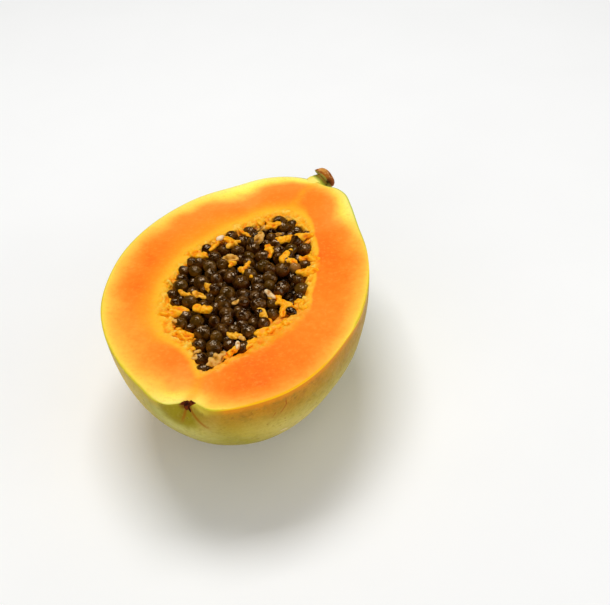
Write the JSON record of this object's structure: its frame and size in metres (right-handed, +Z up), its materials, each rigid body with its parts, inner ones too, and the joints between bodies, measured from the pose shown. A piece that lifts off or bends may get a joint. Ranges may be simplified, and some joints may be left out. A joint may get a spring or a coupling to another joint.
{
  "type": "papaya half",
  "caption": "Ripe papaya cut in half lengthwise, resting on its skin with the cut face up: orange flesh, a hollow heaped with dark seeds, and a stem stub.",
  "frame": {"origin": "middle of the part's footprint box, on the surface it rests on", "axes": "+Z up, square to the cut face; +Y along the fruit from the blossom scar to the stem; +X to the right seen from the blossom end"},
  "size_m": [0.11, 0.1636, 0.0566],
  "materials": {
    "flesh": "moist cut fruit flesh, orange with a yellow rim, inside a waxy yellow-green skin",
    "seeds": "wet glossy dark brown seeds in their clear coats, with orange pulp between them",
    "stem": "dull olive green stalk with a dried brown end"
  },
  "bodies": {
    "root": {"papaya_half": "flesh", "seed_heap": "seeds", "stem_stub": "stem"}
  },
  "joints": []
}
